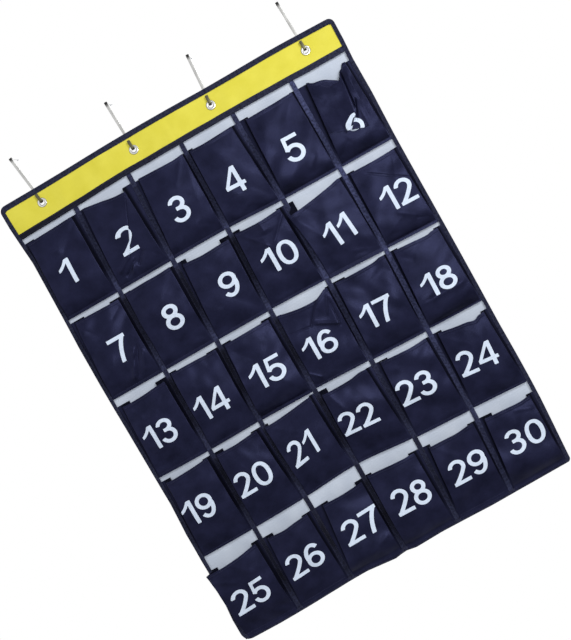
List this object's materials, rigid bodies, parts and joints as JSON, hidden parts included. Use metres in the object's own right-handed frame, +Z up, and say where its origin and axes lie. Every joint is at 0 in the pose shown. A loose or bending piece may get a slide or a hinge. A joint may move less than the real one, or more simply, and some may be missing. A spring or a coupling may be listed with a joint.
{
  "type": "hanging pocket chart",
  "caption": "Over-door wall chart of numbered fabric pockets in a grid, bound round its edge and hung from flat steel hooks through header eyelets.",
  "frame": {"origin": "on the door's top edge, on its front face, midway between the hooks", "axes": "+X to the viewer's right, -Y out of the front, +Z up"},
  "size_m": [0.62, 0.0646, 0.8787],
  "materials": {
    "navy_cloth": "coated oxford weave with a soft sheen",
    "navy_tape": "matt grosgrain binding",
    "grey_backing": "matt non-woven sheet",
    "yellow_cloth": "oxford weave",
    "board": "plain board",
    "nickel": "nickel plate",
    "hook_steel": "bright plated strip"
  },
  "bodies": {
    "chart": {"back_panel": "grey_backing", "header_stiffener": "board", "header_band": "yellow_cloth", "header_tape": "navy_tape", "binding_top": "navy_tape", "binding_bottom": "navy_tape", "binding_left": "navy_tape", "binding_right": "navy_tape", "divider_tape_1": "navy_tape", "divider_tape_2": "navy_tape", "divider_tape_3": "navy_tape", "divider_tape_4": "navy_tape", "divider_tape_5": "navy_tape", "eyelet_1": "nickel", "eyelet_washer_1": "nickel", "eyelet_2": "nickel", "eyelet_washer_2": "nickel", "eyelet_3": "nickel", "eyelet_washer_3": "nickel", "eyelet_4": "nickel", "eyelet_washer_4": "nickel", "pocket_01": "navy_cloth", "pocket_02": "navy_cloth", "pocket_03": "navy_cloth", "pocket_04": "navy_cloth", "pocket_05": "navy_cloth", "pocket_06": "navy_cloth", "pocket_07": "navy_cloth", "pocket_08": "navy_cloth", "pocket_09": "navy_cloth", "pocket_10": "navy_cloth", "pocket_11": "navy_cloth", "pocket_12": "navy_cloth", "pocket_13": "navy_cloth", "pocket_14": "navy_cloth", "pocket_15": "navy_cloth", "pocket_16": "navy_cloth", "pocket_17": "navy_cloth", "pocket_18": "navy_cloth", "pocket_19": "navy_cloth", "pocket_20": "navy_cloth", "pocket_21": "navy_cloth", "pocket_22": "navy_cloth", "pocket_23": "navy_cloth", "pocket_24": "navy_cloth", "pocket_25": "navy_cloth", "pocket_26": "navy_cloth", "pocket_27": "navy_cloth", "pocket_28": "navy_cloth", "pocket_29": "navy_cloth", "pocket_30": "navy_cloth"},
    "hook_1": {"door_hook_1": "hook_steel"},
    "hook_2": {"door_hook_2": "hook_steel"},
    "hook_3": {"door_hook_3": "hook_steel"},
    "hook_4": {"door_hook_4": "hook_steel"}
  },
  "joints": [
    {"name": "hook_1_swing", "type": "hinge", "parent": "chart", "child": "hook_1", "pos_m": [-0.246, -0.0041, -0.089], "axis": [0, 1, 0], "range_deg": [-37, 53]},
    {"name": "hook_2_swing", "type": "hinge", "parent": "chart", "child": "hook_2", "pos_m": [-0.072, -0.0041, -0.089], "axis": [0, 1, 0], "range_deg": [-42.4, 47.6]},
    {"name": "hook_3_swing", "type": "hinge", "parent": "chart", "child": "hook_3", "pos_m": [0.072, -0.0041, -0.089], "axis": [0, 1, 0], "range_deg": [-48.3, 41.7]},
    {"name": "hook_4_swing", "type": "hinge", "parent": "chart", "child": "hook_4", "pos_m": [0.246, -0.0041, -0.089], "axis": [0, 1, 0], "range_deg": [-42.4, 47.6]}
  ]
}
